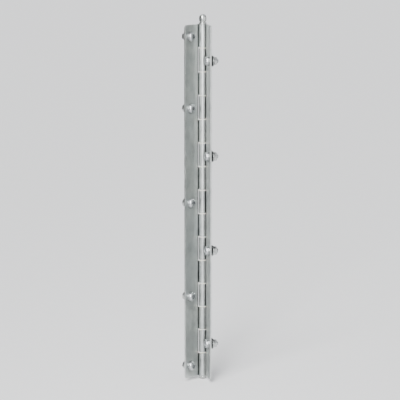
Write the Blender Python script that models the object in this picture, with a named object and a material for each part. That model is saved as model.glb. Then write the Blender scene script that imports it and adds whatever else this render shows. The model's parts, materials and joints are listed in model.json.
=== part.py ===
"""A continuous (piano) hinge for a cabinet door: two leaves rolled round one pin.

Lengths are in metres. The pin runs along +Z. The frame leaf lies in the plane Y = 0 with its
mounting face towards +Y, and the door leaf turns about the pin. The origin is on the frame
leaf's mounting face at mid-length, half way between its line of screws and the pin's axis.
"""

import math

import bmesh
import bpy
from mathutils import Matrix

# The barrel and the leaves.
KNUCKLE_COUNT = 15
KNUCKLE_PITCH = 0.025
LEAF_WIDTH = 0.025  # from the pin's axis to a leaf's free edge
SHEET = 0.0015
CORNER_RADIUS = 0.003
PIN_RADIUS = 0.0025
BORE_CLEARANCE = 0.00015  # round the pin in the knuckles, the thrust washers and the caps
ROLL_SLIT = 0.0006  # from the end of a rolled knuckle to its own leaf
SWING_CLEARANCE = 0.0005  # from a leaf's notch to the other leaf's knuckle
FIT_CLEARANCE = 0.0003  # between pieces that rest on each other
REST_ANGLE = math.radians(52)  # how far the door leaf stands open

# The thrust washers between the knuckles, and the caps on the pin.
KNUCKLE_WASHER_THICKNESS = 0.001
KNUCKLE_WASHER_STEP = 0.0003  # how far a thrust washer stays inside the barrel's surface
CAP_STEP = 0.0003  # how far a cap stays inside the barrel's surface
CAP_COLLAR = 0.0012
CAP_NECK = 0.0009
CAP_NECK_DEPTH = 0.0009
UPPER_CAP_HEIGHT = 0.010
LOWER_CAP_HEIGHT = 0.003
CAP_WALL = 0.0012  # what covers the pin's end
PIN_CHAMFER = 0.0004

# M5 button-head screws with flat washers and flange nuts, which clamp a panel behind each leaf.
SCREW_EVERY = 4  # knuckles from one screw to the next
SCREW_INSET = 0.009  # from a leaf's free edge to its line of screws
SCREW_RADIUS = 0.0025
HOLE_CLEARANCE = 0.00025  # round a screw in its leaf's hole
WASHER_CLEARANCE = 0.00015  # round a screw in its washer
THREAD_CLEARANCE = 0.00015  # round a screw in its nut
SCREW_TIP = 0.0005
SCREW_PROTRUSION = 0.0016  # past the nut
HEAD_RADIUS = 0.00475
HEAD_HEIGHT = 0.00275
HEAD_RIM = 0.0005
DRIVE_RADIUS = 0.00195  # mean radius of the six-lobed drive recess
DRIVE_LOBE = 0.00030
DRIVE_DEPTH = 0.0014
WASHER_RADIUS = 0.005
WASHER_THICKNESS = 0.001
PANEL = 0.002  # the panel that a leaf is screwed to
NUT_ACROSS_FLATS = 0.008
NUT_FLANGE_RADIUS = 0.0059
NUT_FLANGE = 0.0009
NUT_CONE = 0.0022  # height at which the flange's slope meets the hexagon
NUT_HEIGHT = 0.005

# How finely round surfaces are divided.
ROLL_STEPS = 17
CORNER_STEPS = 4
HOLE_SIDES = 18
TURNED_SIDES = 24
WASHER_SIDES = 20
NUT_SIDES = 18
DOME_STEPS = 4
SMOOTH_ANGLE = math.radians(35)

# What follows from these sizes.
BORE_RADIUS = PIN_RADIUS + BORE_CLEARANCE
BARREL_RADIUS = BORE_RADIUS + SHEET
HALF_LENGTH = KNUCKLE_COUNT * KNUCKLE_PITCH / 2
KNUCKLE_SPACE = KNUCKLE_WASHER_THICKNESS + 2 * FIT_CLEARANCE
NOTCH_DEPTH = math.sqrt((BARREL_RADIUS + SWING_CLEARANCE) ** 2 - BORE_RADIUS**2)
ROLL_ANGLE = math.radians(270) + math.asin((BORE_RADIUS - ROLL_SLIT) / BARREL_RADIUS)
HOLE_RADIUS = SCREW_RADIUS + HOLE_CLEARANCE
WASHER_HOLE_RADIUS = SCREW_RADIUS + WASHER_CLEARANCE
NUT_BORE_RADIUS = SCREW_RADIUS + THREAD_CLEARANCE
SCREW_TO_AXIS = LEAF_WIDTH - SCREW_INSET
AXIS_X = SCREW_TO_AXIS / 2
HEAD_SEAT = WASHER_THICKNESS + 2 * FIT_CLEARANCE
NUT_SEAT = SHEET + PANEL + FIT_CLEARANCE
SCREW_LENGTH = HEAD_SEAT + NUT_SEAT + NUT_HEIGHT + SCREW_PROTRUSION
CAP_SEAT = HALF_LENGTH + FIT_CLEARANCE
CAP_RADIUS = BARREL_RADIUS - CAP_STEP


def clear_scene():
    for old in list(bpy.data.objects):
        bpy.data.objects.remove(old, do_unlink=True)


def material(name, colour, roughness, metallic):
    made = bpy.data.materials.new(name)
    made.use_nodes = True
    shader = made.node_tree.nodes["Principled BSDF"]
    shader.inputs["Base Color"].default_value = (*colour, 1.0)
    shader.inputs["Roughness"].default_value = roughness
    shader.inputs["Metallic"].default_value = metallic
    return made


def add_object(name, bm, parent, finish=None):
    """The mesh as an object, with smooth round surfaces and its faces pointing out."""
    bmesh.ops.recalc_face_normals(bm, faces=bm.faces)
    mesh = bpy.data.meshes.new(name)
    bm.to_mesh(mesh)
    bm.free()
    mesh.shade_smooth()
    mesh.set_sharp_from_angle(angle=SMOOTH_ANGLE)
    made = bpy.data.objects.new(name, mesh)
    bpy.context.scene.collection.objects.link(made)
    made.parent = parent
    if finish:
        mesh.materials.append(finish)
    return made


def add_copy(name, source, parent):
    """Another object with the same mesh."""
    made = bpy.data.objects.new(name, source.data)
    bpy.context.scene.collection.objects.link(made)
    made.parent = parent
    return made


def add_axis(name, turn):
    """An empty on the pin's axis, which carries one side of the hinge."""
    made = bpy.data.objects.new(name, None)
    made.location = (AXIS_X, -BARREL_RADIUS, 0)
    made.rotation_euler = (0, 0, turn)
    bpy.context.scene.collection.objects.link(made)
    return made


# Turned pieces


def turned(rings, sides, hollow=False):
    """A solid about the Z axis through rings of (radius, height), in order along its section.

    A radius may be a function of the angle. A radius of 0 is a point on the axis. A hollow
    piece's last ring joins its first one.
    """
    bm = bmesh.new()
    loops = []
    for radius, height in rings:
        if radius == 0:
            loops.append([bm.verts.new((0, 0, height))])
            continue
        loop = []
        for i in range(sides):
            angle = 2 * math.pi * i / sides
            r = radius(angle) if callable(radius) else radius
            loop.append(bm.verts.new((r * math.cos(angle), r * math.sin(angle), height)))
        loops.append(loop)
    pairs = list(zip(loops, loops[1:]))
    if hollow:
        pairs.append((loops[-1], loops[0]))
    for low, high in pairs:
        for i in range(sides):
            j = (i + 1) % sides
            corners = [low[i % len(low)], low[j % len(low)], high[j % len(high)], high[i % len(high)]]
            bm.faces.new(dict.fromkeys(corners))
    return bm


def six_lobes(angle):
    """The drive recess: a rounded six-pointed star."""
    return DRIVE_RADIUS + DRIVE_LOBE * math.cos(6 * angle)


def hexagon(angle):
    """The nut's six flats, with a corner at angle 0."""
    from_flat = (angle + math.pi / 6) % (math.pi / 3) - math.pi / 6
    return NUT_ACROSS_FLATS / 2 / math.cos(math.pi / 6 - abs(from_flat))


def dome(base_radius, base, top_radius, top, steps):
    """Rings of a quarter ellipse from (base_radius, base) up and in to (top_radius, top)."""
    rings = []
    for i in range(steps + 1):
        angle = math.pi / 2 * i / steps
        radius = top_radius + (base_radius - top_radius) * math.cos(angle)
        rings.append((radius, base + (top - base) * math.sin(angle)))
    return rings


def washer_mesh(radius, hole_radius, thickness):
    section = [(hole_radius, 0), (radius, 0), (radius, thickness), (hole_radius, thickness)]
    return turned(section, WASHER_SIDES, hollow=True)


def screw_mesh():
    """A button-head screw from z = 0 under its head, head up."""
    land = DRIVE_RADIUS + 2 * DRIVE_LOBE
    shank = [
        (0, -SCREW_LENGTH),
        (SCREW_RADIUS - SCREW_TIP, -SCREW_LENGTH),
        (SCREW_RADIUS, -SCREW_LENGTH + SCREW_TIP),
        (SCREW_RADIUS, 0),
        (HEAD_RADIUS, 0),
    ]
    head = dome(HEAD_RADIUS, HEAD_RIM, land, HEAD_HEIGHT, DOME_STEPS)
    floor = HEAD_HEIGHT - DRIVE_DEPTH
    recess = [(six_lobes, HEAD_HEIGHT), (six_lobes, floor), (0, floor)]
    return turned(shank + head + recess, TURNED_SIDES)


def nut_mesh():
    """A hexagon flange nut, flange up at z = 0 and hexagon below it."""
    section = [
        (NUT_BORE_RADIUS, 0),
        (NUT_FLANGE_RADIUS, 0),
        (NUT_FLANGE_RADIUS, -NUT_FLANGE),
        (hexagon, -NUT_CONE),
        (hexagon, -NUT_HEIGHT),
        (NUT_BORE_RADIUS, -NUT_HEIGHT),
    ]
    return turned(section, NUT_SIDES, hollow=True)


def pin_mesh(low, high):
    section = [
        (0, low),
        (PIN_RADIUS - PIN_CHAMFER, low),
        (PIN_RADIUS, low + PIN_CHAMFER),
        (PIN_RADIUS, high - PIN_CHAMFER),
        (PIN_RADIUS - PIN_CHAMFER, high),
        (0, high),
    ]
    return turned(section, TURNED_SIDES)


def upper_cap_mesh():
    """A collar, a neck and a tall rounded head, over a blind bore that takes the pin's end."""
    neck_radius = CAP_RADIUS - CAP_NECK_DEPTH
    neck_top = CAP_COLLAR + CAP_NECK
    belly = (neck_top + UPPER_CAP_HEIGHT) / 2
    lower_half = dome(CAP_RADIUS, -belly, neck_radius, -neck_top, DOME_STEPS)
    bore = [(0, UPPER_CAP_HEIGHT - CAP_WALL), (BORE_RADIUS, UPPER_CAP_HEIGHT - CAP_WALL)]
    foot = [(BORE_RADIUS, 0), (CAP_RADIUS, 0), (CAP_RADIUS, CAP_COLLAR), (neck_radius, CAP_COLLAR)]
    head = [(radius, -height) for radius, height in reversed(lower_half)]
    head += dome(CAP_RADIUS, belly, 0, UPPER_CAP_HEIGHT, DOME_STEPS)[1:-1]
    return turned(bore + foot + head + [(0, UPPER_CAP_HEIGHT)], TURNED_SIDES)


def lower_cap_mesh():
    """A low cap pushed onto the pin's lower end, open upwards."""
    floor = CAP_WALL - LOWER_CAP_HEIGHT
    section = [(0, floor), (BORE_RADIUS, floor), (BORE_RADIUS, 0), (CAP_RADIUS, 0)]
    edge = dome(CAP_RADIUS, CAP_COLLAR, BORE_RADIUS, LOWER_CAP_HEIGHT, DOME_STEPS)
    section += [(radius, -height) for radius, height in edge]
    return turned(section + [(0, -LOWER_CAP_HEIGHT)], TURNED_SIDES)


# Leaves


def knuckle_middle(number):
    """The height of knuckle 1, 2, 3 ... counted from the bottom."""
    return (number - (KNUCKLE_COUNT + 1) / 2) * KNUCKLE_PITCH


def knuckle_span(number):
    """Where a knuckle starts and ends. The first and the last reach the leaves' ends."""
    middle = knuckle_middle(number)
    reach = (KNUCKLE_PITCH - KNUCKLE_SPACE) / 2
    low = -HALF_LENGTH if number == 1 else middle - reach
    high = HALF_LENGTH if number == KNUCKLE_COUNT else middle + reach
    return low, high


def sheet_section(side):
    """(outer, inner) points across the sheet, from the free edge to the end of the roll.

    The sheet is flat up to the pin's axis and then goes round the pin. side is 1 for the
    frame leaf and -1 for the door leaf in its closed place, which is the mirror image.
    """
    stations = []
    for x in (-LEAF_WIDTH, -NOTCH_DEPTH):
        stations.append(((x, side * BARREL_RADIUS), (x, side * BORE_RADIUS)))
    for i in range(ROLL_STEPS + 1):
        angle = ROLL_ANGLE * i / ROLL_STEPS
        across, along = math.sin(angle), side * math.cos(angle)
        outer = (BARREL_RADIUS * across, BARREL_RADIUS * along)
        inner = (BORE_RADIUS * across, BORE_RADIUS * along)
        stations.append((outer, inner))
    return stations


def leaf_rows(knuckles):
    """The leaf's height in rows of (low, high, whether it holds a knuckle)."""
    rows = []
    reached = -HALF_LENGTH
    for number in knuckles:
        low, high = knuckle_span(number)
        if low > reached:
            rows.append((reached, low, False))
        rows.append((low, high, True))
        reached = high
    if reached < HALF_LENGTH:
        rows.append((reached, HALF_LENGTH, False))
    return rows


def leaf_mesh(knuckles, side):
    """A plate whose fingers are rolled round the pin's axis, as one closed skin."""
    bm = bmesh.new()
    section = sheet_section(side)
    rows = leaf_rows(knuckles)
    corners = {}

    def corner(station, height, face):
        key = (station, height, face)
        if key not in corners:
            corners[key] = bm.verts.new((*section[station][face], height))
        return corners[key]

    def wall(first, second):
        """The strip across the sheet's thickness between two (station, height) places."""
        bm.faces.new((corner(*first, 0), corner(*second, 0), corner(*second, 1), corner(*first, 1)))

    def filled(station, row):
        if not (0 <= row < len(rows) and 0 <= station < len(section) - 1):
            return False
        return station == 0 or rows[row][2]

    for row, (low, high, _) in enumerate(rows):
        for station in range(len(section) - 1):
            if not filled(station, row):
                continue
            after = station + 1
            for face in (0, 1):
                around = ((station, low), (after, low), (after, high), (station, high))
                bm.faces.new([corner(*place, face) for place in around])
            if not filled(station, row - 1):
                wall((station, low), (after, low))
            if not filled(station, row + 1):
                wall((station, high), (after, high))
            if not filled(station - 1, row):
                wall((station, low), (station, high))
            if not filled(after, row):
                wall((after, low), (after, high))
    bmesh.ops.recalc_face_normals(bm, faces=bm.faces)
    ends = [
        bm.edges.get((corner(0, height, 0), corner(0, height, 1)))
        for height in (-HALF_LENGTH, HALF_LENGTH)
    ]
    bmesh.ops.bevel(
        bm, geom=ends, offset=CORNER_RADIUS, offset_type="OFFSET", segments=CORNER_STEPS,
        profile=0.5, affect="EDGES",
    )
    return bm


def add_leaf(name, knuckles, screw_rows, side, parent, finish):
    """A leaf with a hole for each of its screws."""
    leaf = add_object(name, leaf_mesh(knuckles, side), parent, finish)
    drills = bmesh.new()
    for height in screw_rows:
        place = Matrix.Translation((-SCREW_TO_AXIS, side * (BORE_RADIUS + SHEET / 2), height))
        bmesh.ops.create_cone(
            drills, cap_ends=True, segments=HOLE_SIDES, radius1=HOLE_RADIUS, radius2=HOLE_RADIUS,
            depth=3 * SHEET, matrix=place @ Matrix.Rotation(math.pi / 2, 4, "X"),
        )
    cutter = add_object(name + "_drills", drills, parent)
    cutter.hide_render = True
    cutter.display_type = "WIRE"
    holes = leaf.modifiers.new("screw holes", "BOOLEAN")
    holes.object = cutter
    holes.operation = "DIFFERENCE"
    holes.solver = "EXACT"


# Assembly


def add_fasteners(prefix, screw_rows, side, parent, finish):
    """A screw, a washer and a nut at each height, through the leaf and the panel behind it."""
    parts = (
        ("screw", screw_mesh(), HEAD_SEAT),
        ("washer", washer_mesh(WASHER_RADIUS, WASHER_HOLE_RADIUS, WASHER_THICKNESS), FIT_CLEARANCE),
        ("nut", nut_mesh(), -NUT_SEAT),
    )
    for kind, bm, stand in parts:
        first = None
        for number, height in enumerate(screw_rows, start=1):
            name = f"{prefix}_{kind}_{number}"
            if first is None:
                first = made = add_object(name, bm, parent, finish)
            else:
                made = add_copy(name, first, parent)
            made.location = (-SCREW_TO_AXIS, side * (BORE_RADIUS - stand), height)
            made.rotation_euler = (side * math.pi / 2, 0, 0)


def add_knuckle_washers(parent, finish):
    bm = washer_mesh(BARREL_RADIUS - KNUCKLE_WASHER_STEP, BORE_RADIUS, KNUCKLE_WASHER_THICKNESS)
    first = None
    for number in range(1, KNUCKLE_COUNT):
        name = f"knuckle_washer_{number:02d}"
        if first is None:
            first = made = add_object(name, bm, parent, finish)
        else:
            made = add_copy(name, first, parent)
        made.location.z = knuckle_span(number)[1] + FIT_CLEARANCE


def add_pin_and_caps(parent, steel, bright):
    top = CAP_SEAT + UPPER_CAP_HEIGHT - CAP_WALL - FIT_CLEARANCE
    bottom = -(CAP_SEAT + LOWER_CAP_HEIGHT - CAP_WALL - FIT_CLEARANCE)
    add_object("hinge_pin", pin_mesh(bottom, top), parent, steel)
    upper = add_object("upper_pin_cap", upper_cap_mesh(), parent, bright)
    upper.location.z = CAP_SEAT
    lower = add_object("lower_pin_cap", lower_cap_mesh(), parent, bright)
    lower.location.z = -CAP_SEAT


def build():
    clear_scene()
    zinc = material("zinc_sheet", (0.60, 0.62, 0.61), 0.38, 1.0)
    steel = material("pin_steel", (0.55, 0.56, 0.57), 0.28, 1.0)
    bright = material("bright_cap", (0.72, 0.74, 0.73), 0.20, 1.0)
    nylon = material("nylon", (0.80, 0.80, 0.76), 0.50, 0.0)
    plated = material("plated_fastener", (0.62, 0.63, 0.63), 0.30, 1.0)

    frame_side = add_axis("frame_side", 0)
    door_side = add_axis("door_swing", REST_ANGLE)
    frame_screws = [1, *range(SCREW_EVERY, KNUCKLE_COUNT, SCREW_EVERY), KNUCKLE_COUNT]
    door_screws = range(SCREW_EVERY // 2, KNUCKLE_COUNT, SCREW_EVERY)
    frame_rows = [knuckle_middle(number) for number in frame_screws]
    door_rows = [knuckle_middle(number) for number in door_screws]

    add_leaf("frame_leaf", range(1, KNUCKLE_COUNT + 1, 2), frame_rows, 1, frame_side, zinc)
    add_leaf("door_leaf", range(2, KNUCKLE_COUNT + 1, 2), door_rows, -1, door_side, zinc)
    add_pin_and_caps(frame_side, steel, bright)
    add_knuckle_washers(frame_side, nylon)
    add_fasteners("frame", frame_rows, 1, frame_side, plated)
    add_fasteners("door", door_rows, -1, door_side, plated)


build()
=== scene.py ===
"""The looks of the piano hinge: fine meshes and metal for its leaves, pin, caps and fasteners."""
import json
import math

import bmesh
import bpy
from mathutils import Matrix, Vector

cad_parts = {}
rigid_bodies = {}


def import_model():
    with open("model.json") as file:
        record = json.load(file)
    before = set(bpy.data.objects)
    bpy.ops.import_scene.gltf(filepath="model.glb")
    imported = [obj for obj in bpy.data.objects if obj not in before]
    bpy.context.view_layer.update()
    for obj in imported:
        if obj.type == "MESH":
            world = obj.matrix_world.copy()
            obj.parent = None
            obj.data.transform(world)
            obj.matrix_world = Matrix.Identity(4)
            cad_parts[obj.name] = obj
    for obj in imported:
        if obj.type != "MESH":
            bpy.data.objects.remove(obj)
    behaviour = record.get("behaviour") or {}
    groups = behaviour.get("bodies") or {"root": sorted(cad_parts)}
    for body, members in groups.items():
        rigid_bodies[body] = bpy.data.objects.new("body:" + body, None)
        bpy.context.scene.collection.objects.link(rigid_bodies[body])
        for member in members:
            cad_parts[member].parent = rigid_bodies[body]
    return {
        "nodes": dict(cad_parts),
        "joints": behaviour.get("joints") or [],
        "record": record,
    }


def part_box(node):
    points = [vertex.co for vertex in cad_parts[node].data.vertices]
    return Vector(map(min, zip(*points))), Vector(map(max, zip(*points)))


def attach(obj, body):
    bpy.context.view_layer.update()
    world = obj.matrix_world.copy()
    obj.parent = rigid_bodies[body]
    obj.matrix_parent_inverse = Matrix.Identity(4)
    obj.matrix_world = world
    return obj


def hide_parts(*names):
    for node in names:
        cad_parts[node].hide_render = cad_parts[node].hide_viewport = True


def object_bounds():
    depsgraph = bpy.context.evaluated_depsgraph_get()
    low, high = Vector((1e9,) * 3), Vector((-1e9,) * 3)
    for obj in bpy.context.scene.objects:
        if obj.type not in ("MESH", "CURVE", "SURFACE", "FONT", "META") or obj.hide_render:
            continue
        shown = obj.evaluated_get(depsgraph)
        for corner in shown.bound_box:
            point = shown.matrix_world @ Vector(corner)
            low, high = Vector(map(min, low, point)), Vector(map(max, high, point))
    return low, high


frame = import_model()
CAD_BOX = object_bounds()

# ---------------------------------------------------------------- sizes, in metres

FIT = 0.0003  # the gap that the frame keeps between pieces that rest on each other
SEAT = 0.00002  # the gap that shows between them here

JOINT = frame["joints"][0]
ROOT_BODY, DOOR_BODY = JOINT["parent"], JOINT["child"]
AXIS = Vector(JOINT["pos_m"])
DOOR_FACE = next(m for m in frame["record"]["mounts"] if m["name"] == "door_face")
REST_ANGLE = math.atan2(DOOR_FACE["axis"][0], -DOOR_FACE["axis"][1])


def middle(node):
    """The middle of a CAD node's box."""
    low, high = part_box(node)
    return (low + high) / 2


def span(node):
    """The size of a CAD node's box along each axis."""
    low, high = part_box(node)
    return high - low


def numbered(prefix):
    """The nodes called prefix and a number, in order."""
    return sorted(name for name in frame["nodes"] if name.startswith(prefix))


KNUCKLE_WASHERS = numbered("knuckle_washer_")
LEAF_LOW, LEAF_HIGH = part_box("frame_leaf")
PIN_LOW, PIN_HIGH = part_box("hinge_pin")
SCREW_AT = middle("frame_washer_1")

BARREL_RADIUS = -AXIS.y
SHEET = -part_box("frame_washer_1")[1].y - FIT
BORE_RADIUS = BARREL_RADIUS - SHEET
PIN_RADIUS = span("hinge_pin").x / 2
HALF_LENGTH = LEAF_HIGH.z
LEAF_WIDTH = AXIS.x - LEAF_LOW.x
SCREW_TO_AXIS = AXIS.x - SCREW_AT.x
SWING_CLEARANCE = 0.0005  # from a leaf's notch to the other leaf's knuckle
NOTCH_DEPTH = math.sqrt((BARREL_RADIUS + SWING_CLEARANCE) ** 2 - BORE_RADIUS**2)
ROLL_SLIT = 0.0006  # from the end of a rolled knuckle to its own leaf
ROLL_ANGLE = math.radians(270) + math.asin((BORE_RADIUS - ROLL_SLIT) / BARREL_RADIUS)
ROLL_STEPS = 60
CORNER_RADIUS = 0.003
CORNER_STEPS = 10
NOTCH_CORNER = 0.0005
SHEET_EDGE = 0.00016  # how far a cut edge of the sheet is rounded
HOLE_RADIUS = 0.00275

HEAD_SIDES = 96
THREAD_SIDES = HEAD_SIDES // 2
SCREW_RADIUS = 0.0025
THREAD_PITCH = 0.0008
THREAD_DEPTH = 0.00046
SCREW_TIP = 0.0005
HEAD_RADIUS = span("frame_screw_1").x / 2
HEAD_HEIGHT = 0.00275
HEAD_RIM = 0.0005
SCREW_LENGTH = span("frame_screw_1").y - HEAD_HEIGHT - 2 * (FIT - SEAT)  # the head sits deeper here
SCREW_POINT = 0.86  # the tip's radius, as a share of the thread's root
NECK = 0.001  # the plain shank between head and thread
NECK_FILLET = 0.0002
HEAD_EDGE = 0.00025  # how far the head's lower edge is rounded
DRIVE_RADIUS = 0.00195  # mean radius of the six-lobed drive recess
DRIVE_LOBE = 0.0003
DRIVE_DEPTH = 0.0014
DRIVE_TAPER = 0.97  # the recess's width at its floor, as a share of its width at its mouth
DRIVE_DISH = 0.0003  # how far the floor dips to its middle
WASHER_RADIUS = span("frame_washer_1").x / 2
WASHER_THICKNESS = span("frame_washer_1").y
WASHER_HOLE_RADIUS = 0.00265
WASHER_SHARP_EDGE = 0.00008
WASHER_ROLLED_EDGE = 0.00024
THRUST_WASHER_EDGE = 0.0002
NUT_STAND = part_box("frame_nut_1")[0].y  # behind the leaf, with room for the panel
NUT_FLATS = 0.004  # from the axis to a flat
NUT_CORNERS = 0.00453
NUT_FLANGE_RADIUS = span("frame_nut_1").x / 2
NUT_HEIGHT = span("frame_nut_1").y
NUT_SIDES = 144
NUT_TEETH = 24
NUT_BORE_RADIUS = SCREW_RADIUS + 0.00006
NUT_SLOPE = 0.85  # of the cone from the flange to the hexagon: drop for each metre inwards
NUT_RIM = 0.0003  # how far the flange's rim is rounded
FASTENER_TURN = math.radians(137)  # how far each screw and nut is turned from the one before
CAP_COLLAR = 0.0012
CAP_NECK = 0.0009
CAP_NECK_DEPTH = 0.0009
CAP_EDGE = 0.00025  # how far a cap's edges are rounded
PIN_EDGE = 0.0004
PIN_SIDES = 64
TURNED_SIDES = 72
CREASE = math.radians(38)  # an edge where the surface turns by more than this shows as sharp

# ---------------------------------------------------------------- mesh building


def link_object(name, data):
    """A new object in the scene that holds this mesh, light or camera."""
    made = bpy.data.objects.new(name, data)
    bpy.context.scene.collection.objects.link(made)
    return made


def new_object(name, bm, crease=None):
    """The mesh as an object with smooth surfaces, which are sharp where they turn by over crease."""
    bmesh.ops.recalc_face_normals(bm, faces=bm.faces)
    mesh = bpy.data.meshes.new(name)
    bm.to_mesh(mesh)
    bm.free()
    mesh.shade_smooth()
    if crease:
        mesh.set_sharp_from_angle(angle=crease)
    return link_object(name, mesh)


def value_at(size, angle):
    """A ring's radius or height, which is a number or a function of the angle."""
    return size(angle) if callable(size) else size


def lathe(bm, rings, sides, hollow=False):
    """Adds a closed skin about the Z axis through rings of (radius, height) to bm.

    A radius or a height may be a function of the angle. A radius of 0 is a point. A hollow
    piece's last ring joins its first one. It returns each ring's corners.
    """
    loops = []
    for radius, height in rings:
        if radius == 0:
            loops.append([bm.verts.new((0, 0, height))])
            continue
        loop = []
        for i in range(sides):
            angle = 2 * math.pi * i / sides
            r, z = value_at(radius, angle), value_at(height, angle)
            loop.append(bm.verts.new((r * math.cos(angle), r * math.sin(angle), z)))
        loops.append(loop)
    pairs = list(zip(loops, loops[1:]))
    if hollow:
        pairs.append((loops[-1], loops[0]))
    for low, high in pairs:
        for i in range(sides):
            j = (i + 1) % sides
            around = [low[i % len(low)], low[j % len(low)], high[j % len(high)], high[i % len(high)]]
            bm.faces.new(dict.fromkeys(around))
    return loops


def arc(centre, radii, start, end, steps):
    """Points of (radius, height) along an ellipse's arc, with angles in degrees."""
    points = []
    for i in range(steps + 1):
        angle = math.radians(start + (end - start) * i / steps)
        points.append((centre[0] + radii[0] * math.cos(angle), centre[1] + radii[1] * math.sin(angle)))
    return points


def rounded_ring(inner, outer, low, high, lower_edge, upper_edge, steps=3):
    """The section of a flat ring whose lower and upper edges are rounded."""
    a, b = lower_edge, upper_edge
    section = arc((inner + a, low + a), (a, a), 180, 270, steps)
    section += arc((outer - a, low + a), (a, a), 270, 360, steps)
    section += arc((outer - b, high - b), (b, b), 0, 90, steps)
    section += arc((inner + b, high - b), (b, b), 90, 180, steps)
    return section


# ---------------------------------------------------------------- leaves


def knuckle_spans():
    """(low, high) of every knuckle from the bottom up, between the thrust washers."""
    edges = [-HALF_LENGTH]
    for name in KNUCKLE_WASHERS:
        low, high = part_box(name)
        edges += [low.z - FIT, high.z + FIT]
    edges.append(HALF_LENGTH)
    return list(zip(edges[::2], edges[1::2]))


def sheet_section(side):
    """(outer, inner) points across the sheet, from its free edge round the pin."""
    stations = []
    for x in (-LEAF_WIDTH, -NOTCH_DEPTH):
        stations.append(((x, side * BARREL_RADIUS), (x, side * BORE_RADIUS)))
    for i in range(ROLL_STEPS + 1):
        angle = ROLL_ANGLE * i / ROLL_STEPS
        across, along = math.sin(angle), side * math.cos(angle)
        outer = (BARREL_RADIUS * across, BARREL_RADIUS * along)
        stations.append((outer, (BORE_RADIUS * across, BORE_RADIUS * along)))
    return stations


def leaf_rows(spans):
    """(low, high, whether there's a knuckle) of the rows that a leaf is made of, bottom up."""
    rows = []
    reached = -HALF_LENGTH
    for low, high in spans:
        if low > reached:
            rows.append((reached, low, False))
        rows.append((low, high, True))
        reached = high
    if reached < HALF_LENGTH:
        rows.append((reached, HALF_LENGTH, False))
    return rows


def leaf_skin(spans, side):
    """A plate whose fingers are rolled round the pin, as one closed skin with sharp edges."""
    bm = bmesh.new()
    section = sheet_section(side)
    rows = leaf_rows(spans)
    corners = {}

    def corner(station, height, face):
        key = (station, height, face)
        if key not in corners:
            corners[key] = bm.verts.new((*section[station][face], height))
        return corners[key]

    def wall(first, second):
        bm.faces.new((corner(*first, 0), corner(*second, 0), corner(*second, 1), corner(*first, 1)))

    def filled(station, row):
        if not (0 <= row < len(rows) and 0 <= station < len(section) - 1):
            return False
        return station == 0 or rows[row][2]

    for row, (low, high, _) in enumerate(rows):
        for station in range(len(section) - 1):
            if not filled(station, row):
                continue
            after = station + 1
            for face in (0, 1):
                around = ((station, low), (after, low), (after, high), (station, high))
                bm.faces.new([corner(*place, face) for place in around])
            if not filled(station, row - 1):
                wall((station, low), (after, low))
            if not filled(station, row + 1):
                wall((station, high), (after, high))
            if not filled(station - 1, row):
                wall((station, low), (station, high))
            if not filled(after, row):
                wall((after, low), (after, high))
    bmesh.ops.recalc_face_normals(bm, faces=bm.faces)
    return bm, corner, rows


def round_corners(bm, places, radius, steps, corner):
    """Rounds the edges that run through the sheet at these places."""
    edges = [bm.edges.get((corner(*place, 0), corner(*place, 1))) for place in places]
    bmesh.ops.bevel(
        bm, geom=edges, offset=radius, offset_type="OFFSET", segments=steps, profile=0.5,
        affect="EDGES",
    )


def make_leaf(name, spans, screw_heights, side):
    """A leaf with rounded corners, drilled holes and softly broken edges."""
    bm, corner, rows = leaf_skin(spans, side)
    outer_corners = [(0, -HALF_LENGTH), (0, HALF_LENGTH)]
    notch_corners = []
    for low, high, holds_knuckle in rows:
        if holds_knuckle:
            notch_corners += [(1, z) for z in (low, high) if abs(z) < HALF_LENGTH]
    round_corners(bm, outer_corners, CORNER_RADIUS, CORNER_STEPS, corner)
    round_corners(bm, notch_corners, NOTCH_CORNER, 4, corner)
    leaf = new_object(name, bm)
    drills = bmesh.new()
    for height in screw_heights:
        place = Matrix.Translation((-SCREW_TO_AXIS, side * (BORE_RADIUS + SHEET / 2), height))
        bmesh.ops.create_cone(
            drills, cap_ends=True, segments=48, radius1=HOLE_RADIUS, radius2=HOLE_RADIUS,
            depth=3 * SHEET, matrix=place @ Matrix.Rotation(math.pi / 2, 4, "X"),
        )
    cutter = new_object(name + "_drills", drills)
    cutter.parent = leaf
    cutter.hide_render = True
    cutter.display_type = "WIRE"
    holes = leaf.modifiers.new("holes", "BOOLEAN")
    holes.object = cutter
    edges = leaf.modifiers.new("edges", "BEVEL")
    edges.width = SHEET_EDGE
    edges.segments = 3
    edges.limit_method = "ANGLE"
    edges.angle_limit = math.radians(40)
    edges.harden_normals = True
    return leaf


# ---------------------------------------------------------------- pin, caps and washers


def make_pin():
    """The rod, with rounded ends."""
    low, high = PIN_LOW.z, PIN_HIGH.z
    edge = PIN_EDGE
    section = [(0, low), *arc((PIN_RADIUS - edge, low + edge), (edge, edge), 270, 360, 4)]
    section += [*arc((PIN_RADIUS - edge, high - edge), (edge, edge), 0, 90, 4), (0, high)]
    bm = bmesh.new()
    lathe(bm, section, PIN_SIDES)
    return new_object("pin_rod", bm, CREASE)


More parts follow.
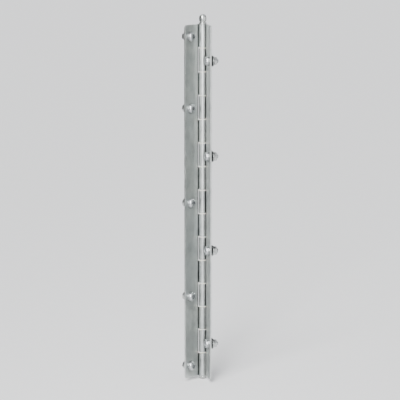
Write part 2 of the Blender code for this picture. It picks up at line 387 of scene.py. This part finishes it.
def make_upper_cap():
    """A collar, a neck and a tall rounded head, over a bore that takes the pin's end."""
    low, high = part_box("upper_pin_cap")
    radius = (high.x - low.x) / 2
    top = high.z - low.z
    neck = radius - CAP_NECK_DEPTH
    neck_top = CAP_COLLAR + CAP_NECK
    belly = (neck_top + top) / 2
    edge = CAP_EDGE
    floor = PIN_HIGH.z - low.z + FIT
    section = [(0, floor), (BORE_RADIUS, floor), (BORE_RADIUS, edge), (BORE_RADIUS + edge, 0)]
    section += arc((radius - edge, edge), (edge, edge), 270, 360, 4)
    section += arc((radius - edge, CAP_COLLAR - edge), (edge, edge), 0, 90, 4)
    section += arc((neck + edge, CAP_COLLAR + edge), (edge, edge), 270, 180, 3)
    section += [(neck, neck_top - edge / 2)]
    section += arc((neck, belly), (radius - neck, belly - neck_top), 270, 360, 14)[1:]
    section += arc((0, belly), (radius, top - belly), 0, 90, 20)[1:-1]
    bm = bmesh.new()
    lathe(bm, section + [(0, top)], TURNED_SIDES)
    made = new_object("cap_upper", bm, CREASE)
    made.location = (0, 0, low.z)
    return made


def make_lower_cap():
    """A short collar that closes to a low dome, over the pin's lower end."""
    low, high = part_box("lower_pin_cap")
    radius = (high.x - low.x) / 2
    depth = high.z - low.z
    edge = CAP_EDGE
    floor = PIN_LOW.z - high.z - FIT
    section = [(0, floor), (BORE_RADIUS, floor), (BORE_RADIUS, -edge), (BORE_RADIUS + edge, 0)]
    section += arc((radius - edge, -edge), (edge, edge), 90, 0, 4)
    drop = depth - CAP_COLLAR
    section += arc((BORE_RADIUS, -CAP_COLLAR), (radius - BORE_RADIUS, drop), 0, -90, 12)
    bm = bmesh.new()
    lathe(bm, section + [(0, -depth)], TURNED_SIDES)
    made = new_object("cap_lower", bm, CREASE)
    made.location = (0, 0, high.z)
    return made


def make_knuckle_washer():
    """A thrust washer between two knuckles, with its lower face at z = 0."""
    size = span(KNUCKLE_WASHERS[0])
    edge = THRUST_WASHER_EDGE
    bm = bmesh.new()
    lathe(bm, rounded_ring(BORE_RADIUS, size.x / 2, 0, size.z, edge, edge), TURNED_SIDES, hollow=True)
    return new_object("thrust_washer", bm, CREASE)


def make_flat_washer():
    """A stamped washer, with a rolled upper edge and a sharper lower one."""
    section = rounded_ring(
        WASHER_HOLE_RADIUS, WASHER_RADIUS, 0, WASHER_THICKNESS, WASHER_SHARP_EDGE, WASHER_ROLLED_EDGE
    )
    bm = bmesh.new()
    lathe(bm, section, TURNED_SIDES, hollow=True)
    return new_object("flat_washer", bm, CREASE)


# ---------------------------------------------------------------- screws and nuts


def six_lobes(grow, shrink=1.0):
    """The drive recess's outline, as a function of the angle."""
    return lambda angle: (DRIVE_RADIUS + grow + DRIVE_LOBE * math.cos(6 * angle)) * shrink


def thread_skin(bm, low, high):
    """Adds a screw thread from low to high, which runs out into its core at both ends.

    It returns the rings of corners at both ends, for the faces that close it.
    """
    profile = (0, 0, 0.45, 0.92, 1, 0.92, 0.45, 0)  # root to crest and back, over one pitch
    rows = len(profile)
    core = SCREW_RADIUS - THREAD_DEPTH
    run_out = 0.6 * THREAD_PITCH
    grid = 1e7  # corners nearer than 1 / grid are one
    turns = math.ceil((high - low) / THREAD_PITCH) + 2
    corners = {}

    def corner(k, i):
        turn, k = i / THREAD_SIDES + k // rows, k % rows
        height = low + THREAD_PITCH * (turn - 1 + k / rows)
        fade = max(0, min(1, min(height - low, high - height) / run_out))
        radius = core + THREAD_DEPTH * profile[k] * fade
        height = max(low, min(high, height))
        key = (i % THREAD_SIDES, round(height * grid), round(radius * grid))
        if key not in corners:
            angle = 2 * math.pi * (i % THREAD_SIDES) / THREAD_SIDES
            corners[key] = bm.verts.new((radius * math.cos(angle), radius * math.sin(angle), height))
        return corners[key]

    for i in range(turns * THREAD_SIDES):
        for k in range(rows):
            around = (corner(k, i), corner(k, i + 1), corner(k + 1, i + 1), corner(k + 1, i))
            face = list(dict.fromkeys(around))
            if len(face) > 2 and not bm.faces.get(face):
                bm.faces.new(face)
    ends = []
    for height in (low, high):
        place = (round(height * grid), round(core * grid))
        ends.append([corners[(i, *place)] for i in range(THREAD_SIDES)])
    return ends


def make_screw():
    """A button-head screw from z = 0 under its head, head up, as one closed skin."""
    edge, fillet = HEAD_EDGE, NECK_FILLET
    land = DRIVE_RADIUS + 2 * DRIVE_LOBE
    top = HEAD_HEIGHT
    floor = top - DRIVE_DEPTH
    head = [(SCREW_RADIUS, -NECK + fillet), (SCREW_RADIUS, -fillet), (SCREW_RADIUS + fillet, 0)]
    head += arc((HEAD_RADIUS - edge, edge), (edge, edge), 270, 360, 5)
    head += arc((land, HEAD_RIM), (HEAD_RADIUS - land, top - HEAD_RIM), 0, 90, 18)
    mouth = ((0.00014, 0), (0.00004, 0.00006), (0, 0.0002))  # (how much wider, how deep)
    head += [(six_lobes(wider), top - depth) for wider, depth in mouth]
    head += [(six_lobes(0, DRIVE_TAPER), floor)]
    dish = ((0.0012, 1 / 3), (0.0005, 5 / 6), (0, 1))  # (radius, share of the dish's depth)
    head += [(radius, floor - DRIVE_DISH * share) for radius, share in dish]
    bm = bmesh.new()
    foot = lathe(bm, head, HEAD_SIDES)[0]
    last, collar = thread_skin(bm, SCREW_TIP - SCREW_LENGTH, -NECK)
    nose = [bm.verts.new((*(v.co.xy * SCREW_POINT), -SCREW_LENGTH)) for v in last]
    bm.faces.new(nose)
    for i in range(THREAD_SIDES):
        j = (i + 1) % THREAD_SIDES
        bm.faces.new((last[i], last[j], nose[j], nose[i]))
        bm.faces.new((foot[2 * i], foot[2 * i + 1], collar[i]))
        bm.faces.new((foot[2 * i + 1], foot[2 * j], collar[j], collar[i]))
    return new_object("button_screw", bm, CREASE)


def hexagon(angle):
    """From the axis to the nut's side: six flats between slightly rounded corners."""
    from_flat = (angle + math.pi / 6) % (math.pi / 3) - math.pi / 6
    return min(NUT_CORNERS, NUT_FLATS / math.cos(math.pi / 6 - abs(from_flat)))


def make_nut():
    """A serrated hexagon flange nut: its bearing face up at z = 0, its hexagon below."""
    bore = NUT_BORE_RADIUS
    countersink = 0.0005
    flange = 0.0009  # from the bearing face to the cone's outer edge
    fillet = 0.0002  # between the cone and the hexagon
    chamfer = NUT_FLATS - 0.0001
    chamfer_slope = math.tan(math.radians(30))
    teeth_from, teeth_to = 0.0037, 0.0055
    flank = 0.0001  # how far a row of teeth takes to start or end

    def tooth(depth):
        """Ramps that slope down by depth round the bearing face, and step up again."""
        return lambda angle: -depth * ((angle * NUT_TEETH / (2 * math.pi)) % 1)

    def on_cone(lift):
        return lambda angle: lift - flange - (NUT_FLANGE_RADIUS - hexagon(angle)) * NUT_SLOPE

    def crown(angle):
        return (hexagon(angle) - chamfer) * chamfer_slope - NUT_HEIGHT

    section = [(bore, -1.2 * countersink), (bore + countersink, 0)]
    section += [(teeth_from - flank, 0), (teeth_from + flank, tooth(0.00014))]
    section += [(teeth_to - flank, tooth(0.00022)), (teeth_to + flank, -0.00025)]
    section += arc((NUT_FLANGE_RADIUS - NUT_RIM, -0.00055), (NUT_RIM, NUT_RIM), 60, -60, 6)
    section += [(lambda angle: hexagon(angle) + 1.1 * fillet, on_cone(fillet))]
    section += [(hexagon, on_cone(-0.7 * fillet))]
    section += [(hexagon, crown), (chamfer, -NUT_HEIGHT)]
    section += [(bore + 0.9 * countersink, -NUT_HEIGHT), (bore, countersink - NUT_HEIGHT)]
    bm = bmesh.new()
    lathe(bm, section, NUT_SIDES, hollow=True)
    return new_object("flange_nut", bm, CREASE)


# ---------------------------------------------------------------- materials


class Nodes:
    """A material's node tree, built one node at a time."""

    def __init__(self, name):
        self.material = bpy.data.materials.new(name)
        self.material.use_nodes = True
        self.tree = self.material.node_tree
        self.shader = self.tree.nodes["Principled BSDF"]
        self.place = self.add("TexCoord").outputs["Object"]

    def add(self, kind, inputs=(), **settings):
        """A new node with these settings, whose inputs hold values or come from other nodes."""
        node = self.tree.nodes.new("ShaderNode" + kind)
        for key, value in settings.items():
            setattr(node, key, value)
        for key, value in dict(inputs).items():
            self.put(node.inputs[key], value)
        return node

    def put(self, socket, value):
        """Links value to the socket if it's another node's output, or else sets it there."""
        if isinstance(value, bpy.types.NodeSocket):
            self.tree.links.new(value, socket)
        else:
            socket.default_value = value

    def shade(self, **inputs):
        """Sets the shader's inputs, such as Base_Color."""
        for key, value in inputs.items():
            self.put(self.shader.inputs[key.replace("_", " ")], value)

    def noise(self, scale, detail=3.0, roughness=0.55, turn=(0, 0, 0)):
        """Noise whose grains measure 1 / scale metres along each axis."""
        mapped = self.add("Mapping", {"Vector": self.place, "Scale": scale, "Rotation": turn})
        made = self.add("TexNoise", {"Vector": mapped.outputs[0], "Scale": 1.0, "Detail": detail,
                                     "Roughness": roughness})
        return made.outputs["Fac"]

    def spread(self, value, low, high, to_low, to_high):
        """value, from low to high, spread over to_low to to_high."""
        made = self.add("MapRange", {"Value": value, "From Min": low, "From Max": high,
                                     "To Min": to_low, "To Max": to_high})
        return made.outputs[0]

    def plus(self, a, b):
        return self.add("Math", {0: a, 1: b}, operation="ADD").outputs[0]

    def minus(self, a, b):
        return self.add("Math", {0: a, 1: b}, operation="SUBTRACT").outputs[0]

    def times(self, a, b):
        return self.add("Math", {0: a, 1: b}, operation="MULTIPLY").outputs[0]

    def blend(self, factor, a, b):
        """Colour a where factor is 0, and b where it is 1."""
        made = self.add("Mix", {0: factor, 6: (*a, 1) if isinstance(a, tuple) else a,
                                7: (*b, 1) if isinstance(b, tuple) else b}, data_type="RGBA")
        return made.outputs[2]

    def painted_crevice_shade(self, distance, deepest):
        """Painted shade: 1 in the open, down to deepest in a crevice of about this size, where shade
        falls.
        """
        made = self.add("AmbientOcclusion", {"Distance": distance}, samples=8)
        return self.spread(made.outputs["AO"], 0.25, 0.9, deepest, 1)

    def worn_edges(self, width, breakup):
        """Towards 1 along edges that stick out, where handling has rubbed them, broken up by noise."""
        made = self.add("AmbientOcclusion", {"Distance": width}, samples=8, inside=True, only_local=True)
        edges = self.spread(made.outputs["AO"], 0.5, 0.95, 1, 0)
        return self.times(edges, self.spread(breakup, 0.35, 0.6, 0.25, 1))

    def darken(self, colour, factor):
        """The colour times factor."""
        made = self.add("VectorMath", {0: colour, "Scale": factor}, operation="SCALE")
        return made.outputs[0]

    def bump(self, height, strength, distance):
        """A normal that follows the height's relief."""
        made = self.add("Bump", {"Height": height, "Strength": strength, "Distance": distance})
        return made.outputs["Normal"]


RUBBED_ZINC = (0.74, 0.75, 0.74)


def zinc_sheet(name, light, dark, tint):
    """Zinc-plated rolled sheet: lines along the roll, a cloudy plate, fine handling scratches and painted
    shade in its crevices.
    """
    n = Nodes(name)
    lines = n.noise((5200, 5200, 90), detail=4)
    streaks = n.noise((900, 900, 14), detail=3)
    clouds = n.noise((140, 140, 90), detail=5, roughness=0.62)
    patches = n.noise((38, 38, 22), detail=2)
    scratch = n.noise((2600, 2600, 55), detail=1, turn=(0.35, 0.25, 0.1))
    scratch = n.spread(scratch, 0.66, 0.72, 0, 1)
    colour = n.blend(n.spread(clouds, 0.35, 0.65, 0, 1), dark, light)
    colour = n.blend(n.spread(patches, 0.42, 0.7, 0, 0.35), colour, tint)
    colour = n.blend(n.spread(streaks, 0.45, 0.75, 0, 0.18), colour, light)
    rubbed = n.worn_edges(0.0005, clouds)
    # Painted shade darkens the colour in crevices, such as between leaf and knuckle and under washers;
    # worn edges turn to lighter rubbed zinc.
    colour = n.blend(rubbed, n.darken(colour, n.painted_crevice_shade(0.003, 0.22)), RUBBED_ZINC)
    roughness = n.spread(clouds, 0.3, 0.7, 0.30, 0.42)
    roughness = n.plus(roughness, n.spread(lines, 0.3, 0.7, -0.04, 0.05))
    roughness = n.plus(roughness, n.times(scratch, 0.08))
    roughness = n.minus(roughness, n.times(rubbed, 0.1))
    relief = n.plus(n.times(lines, 0.5), n.times(streaks, 0.6))
    relief = n.minus(relief, n.times(scratch, 0.5))
    n.shade(Base_Color=colour, Metallic=1.0, Roughness=roughness, Normal=n.bump(relief, 0.22, 0.00003))
    return n.material


def plated(name, light, dark, rough, lathe_marks=0):
    """Bright plating on a turned or stamped piece, with faint rings or grain, soft mottling and painted
    shade in its recesses.
    """
    n = Nodes(name)
    mottle = n.noise((700, 700, 700), detail=4)
    if lathe_marks:
        marks = n.add("TexWave", {"Vector": n.place, "Scale": lathe_marks, "Distortion": 0.6,
                                  "Detail": 2.0, "Detail Scale": 2.0},
                      wave_type="RINGS", rings_direction="Z", wave_profile="SIN").outputs["Fac"]
    else:
        marks = n.noise((4200, 4200, 4200), detail=2)
    colour = n.blend(n.spread(mottle, 0.35, 0.65, 0, 1), dark, light)
    rubbed = n.worn_edges(0.00025, mottle)
    # Painted shade darkens the colour in recesses, such as the screws' drive and the nuts' threads; worn
    # edges turn to lighter rubbed zinc.
    colour = n.blend(rubbed, n.darken(colour, n.painted_crevice_shade(0.003, 0.3)), RUBBED_ZINC)
    roughness = n.spread(mottle, 0.3, 0.7, rough - 0.05, rough + 0.06)
    roughness = n.plus(roughness, n.spread(marks, 0.2, 0.8, -0.02, 0.03))
    roughness = n.minus(roughness, n.times(rubbed, 0.06))
    relief = n.plus(n.times(marks, 0.6), n.times(mottle, 0.2))
    n.shade(Base_Color=colour, Metallic=1.0, Roughness=roughness, Normal=n.bump(relief, 0.12, 0.00002))
    return n.material


def drawn_steel(name):
    """Bright drawn rod, with fine lines along it."""
    n = Nodes(name)
    lines = n.noise((6000, 6000, 60), detail=3)
    colour = n.blend(lines, (0.42, 0.43, 0.44), (0.58, 0.59, 0.60))
    n.shade(Base_Color=colour, Metallic=1.0, Roughness=n.spread(lines, 0.3, 0.7, 0.22, 0.34),
            Normal=n.bump(lines, 0.2, 0.00002))
    return n.material


def moulded_nylon(name):
    """Off-white nylon, slightly cloudy and lit from within."""
    n = Nodes(name)
    grain = n.noise((2500, 2500, 2500), detail=3)
    cloud = n.noise((400, 400, 400), detail=2)
    colour = n.blend(n.spread(cloud, 0.35, 0.65, 0, 1), (0.70, 0.69, 0.62), (0.80, 0.79, 0.73))
    n.shade(Base_Color=colour, Roughness=n.spread(grain, 0.3, 0.7, 0.42, 0.56),
            Subsurface_Weight=0.12, Subsurface_Scale=0.001, Normal=n.bump(grain, 0.15, 0.00002))
    return n.material


# ---------------------------------------------------------------- assembly


def side_matrix(body):
    """From a side's own frame, with the pin's axis as Z, to where that side stands at rest."""
    turn = REST_ANGLE if body == DOOR_BODY else 0
    return Matrix.Translation(AXIS) @ Matrix.Rotation(turn, 4, "Z")


def settle(piece, local, body, node, material):
    """Puts a piece in its place on its body, where it stands for one CAD node."""
    piece.matrix_world = side_matrix(body) @ local
    if not piece.data.materials:
        piece.data.materials.append(material)
    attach(piece, body)
    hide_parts(node)


def settle_copy(source, local, body, node, material):
    """As settle, for a copy of source, which shares its mesh."""
    settle(link_object("fine_" + node, source.data), local, body, node, material)


def add_fasteners(prefix, body, side, shapes, finishes):
    """The screws, washers and nuts of one leaf, seated on it and on each other."""
    inward = Matrix.Rotation(side * math.pi / 2, 4, "X")
    stands = {
        "screw": 2 * SEAT + WASHER_THICKNESS,
        "washer": SEAT,
        "nut": -(SHEET + NUT_STAND),
    }
    for kind, stand in stands.items():
        for number, node in enumerate(numbered(f"{prefix}_{kind}_"), start=1):
            place = (-SCREW_TO_AXIS, side * (BORE_RADIUS - stand), middle(node).z)
            tightened = Matrix.Rotation(FASTENER_TURN * number, 4, "Z")
            local = Matrix.Translation(place) @ inward @ tightened
            settle_copy(shapes[kind], local, body, node, finishes[kind])


def build():
    """Makes every piece of the hinge and settles it on its body."""
    spans = knuckle_spans()
    identity = Matrix.Identity(4)
    frame_heights = [middle(name).z for name in numbered("frame_washer_")]
    door_heights = [middle(name).z for name in numbered("door_washer_")]

    frame_zinc = zinc_sheet("frame_leaf_zinc", (0.57, 0.59, 0.57), (0.44, 0.46, 0.45), (0.50, 0.54, 0.56))
    door_zinc = zinc_sheet("door_leaf_zinc", (0.55, 0.57, 0.56), (0.42, 0.44, 0.44), (0.53, 0.55, 0.51))
    frame_leaf = make_leaf("frame_leaf_sheet", spans[0::2], frame_heights, 1)
    settle(frame_leaf, identity, ROOT_BODY, "frame_leaf", frame_zinc)
    door_leaf = make_leaf("door_leaf_sheet", spans[1::2], door_heights, -1)
    settle(door_leaf, identity, DOOR_BODY, "door_leaf", door_zinc)

    settle(make_pin(), identity, ROOT_BODY, "hinge_pin", drawn_steel("pin_steel"))
    bright = plated("bright_cap", (0.64, 0.66, 0.64), (0.56, 0.58, 0.56), rough=0.22, lathe_marks=900)
    for cap, node in ((make_upper_cap(), "upper_pin_cap"), (make_lower_cap(), "lower_pin_cap")):
        settle(cap, Matrix.Translation(cap.location), ROOT_BODY, node, bright)
    thrust_washer, nylon = make_knuckle_washer(), moulded_nylon("nylon")
    for node in KNUCKLE_WASHERS:
        seat = Matrix.Translation((0, 0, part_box(node)[0].z))
        settle_copy(thrust_washer, seat, ROOT_BODY, node, nylon)

    shapes = {"screw": make_screw(), "washer": make_flat_washer(), "nut": make_nut()}
    finishes = {
        "screw": plated("screw_zinc", (0.60, 0.62, 0.63), (0.48, 0.50, 0.51), rough=0.29),
        "washer": plated("washer_zinc", (0.62, 0.64, 0.64), (0.52, 0.54, 0.54), rough=0.30),
        "nut": plated("nut_zinc", (0.58, 0.59, 0.58), (0.47, 0.49, 0.48), rough=0.30),
    }
    add_fasteners("frame", ROOT_BODY, 1, shapes, finishes)
    add_fasteners("door", DOOR_BODY, -1, shapes, finishes)
    for shape in (thrust_washer, *shapes.values()):
        bpy.data.objects.remove(shape)


# ---------------------------------------------------------------- floor, light and camera

FLOOR_RADIUS = 12.0
FLOOR_GAP = 0.0002  # under the hinge's lowest point
SKY_AT_HORIZON = (0.90, 0.90, 0.90, 1)
SKY_ABOVE = (0.45, 0.46, 0.48, 1)
SKY_STRENGTH = 1.75
FLAG_DISTANCE = 0.5
FLAG_HEIGHT = 1.2
FLAG_SHADE = 0.02
FLAGS = {"front": (-98, 0.30), "right": (90, 0.62), "back": (178, 0.28), "left": (-140, 0.34)}
CAMERA_AZIMUTH = -50
CAMERA_ELEVATION = 9
CAMERA_LENS = 200  # in millimetres
VIEW_HEIGHT = 0.42  # what the view takes in at the hinge


def facing(azimuth, elevation):
    """The direction from the hinge to this azimuth and elevation, in degrees."""
    a, e = math.radians(azimuth), math.radians(elevation)
    return Vector((math.sin(a) * math.cos(e), -math.cos(a) * math.cos(e), math.sin(e)))


def aim(thing, back, place):
    """Stands a light, card or camera at place, so that it looks along -back."""
    thing.location = place
    thing.rotation_mode = "QUATERNION"
    thing.rotation_quaternion = back.to_track_quat("Z", "Y")


def add_floor():
    """A pale, matt floor that reaches past the view's upper edge."""
    bm = bmesh.new()
    bmesh.ops.create_circle(bm, cap_ends=True, segments=96, radius=FLOOR_RADIUS)
    floor = new_object("studio_floor", bm)
    floor.location = (0, 0, CAD_BOX[0].z - FLOOR_GAP)
    n = Nodes("studio_floor")
    grain = n.noise((60, 60, 60), detail=4)
    n.shade(Base_Color=n.blend(grain, (0.80, 0.80, 0.80), (0.83, 0.83, 0.83)), Roughness=0.75,
            Specular_IOR_Level=0.0)
    floor.data.materials.append(n.material)


def add_light(name, azimuth, elevation, distance, size, spread, power):
    """A soft box with a grid, which looks at the hinge from this direction."""
    light = bpy.data.lights.new(name, "AREA")
    light.shape = "RECTANGLE"
    light.size, light.size_y = size
    light.spread = math.radians(spread)
    light.energy = power
    back = facing(azimuth, elevation)
    aim(link_object(name, light), back, back * distance)


def add_sun(name, azimuth, elevation, spread, strength):
    """An even, soft light from this direction over the whole floor."""
    light = bpy.data.lights.new(name, "SUN")
    light.angle = math.radians(spread)
    light.energy = strength
    back = facing(azimuth, elevation)
    aim(link_object(name, light), back, back)


def add_flag(name, azimuth, width):
    """A dark upright card that only reflections see, which gives the metal its dark sides."""
    bm = bmesh.new()
    size = Matrix.Diagonal((width, FLAG_HEIGHT, 1, 1))
    bmesh.ops.create_grid(bm, x_segments=1, y_segments=1, size=0.5, matrix=size)
    card = new_object(name, bm)
    back = facing(azimuth, 0)
    aim(card, back, back * FLAG_DISTANCE)
    card.visible_camera = card.visible_diffuse = card.visible_shadow = False
    n = Nodes(name)
    n.shade(Base_Color=(FLAG_SHADE, FLAG_SHADE, FLAG_SHADE, 1), Roughness=1.0, Specular_IOR_Level=0.0)
    card.data.materials.append(n.material)


def add_world():
    """An even sky that is paler towards the horizon."""
    world = bpy.data.worlds.new("studio")
    world.use_nodes = True
    nodes, links = world.node_tree.nodes, world.node_tree.links
    place = nodes.new("ShaderNodeTexCoord")
    split = nodes.new("ShaderNodeSeparateXYZ")
    ramp = nodes.new("ShaderNodeValToRGB")
    links.new(place.outputs["Generated"], split.inputs[0])
    links.new(split.outputs["Z"], ramp.inputs["Fac"])
    pale, dim = ramp.color_ramp.elements
    pale.position, pale.color = 0.0, SKY_AT_HORIZON
    dim.position, dim.color = 0.7, SKY_ABOVE
    background = nodes["Background"]
    links.new(ramp.outputs["Color"], background.inputs["Color"])
    background.inputs["Strength"].default_value = SKY_STRENGTH
    bpy.context.scene.world = world


def add_camera():
    """A long lens that looks at the middle of the hinge."""
    low, high = CAD_BOX
    data = bpy.data.cameras.new("camera")
    data.lens = CAMERA_LENS
    camera = link_object("camera", data)
    back = facing(CAMERA_AZIMUTH, CAMERA_ELEVATION)
    distance = VIEW_HEIGHT * CAMERA_LENS / data.sensor_width
    aim(camera, back, (low + high) / 2 + back * distance)
    bpy.context.scene.camera = camera


build()
add_floor()
add_world()
add_sun("sun", azimuth=-70, elevation=50, spread=25, strength=3.2)
add_light("key", azimuth=-60, elevation=18, distance=1.2, size=(0.25, 0.7), spread=60, power=2.4)
for side, (azimuth, width) in FLAGS.items():
    add_flag(side + "_flag", azimuth, width)
add_camera()
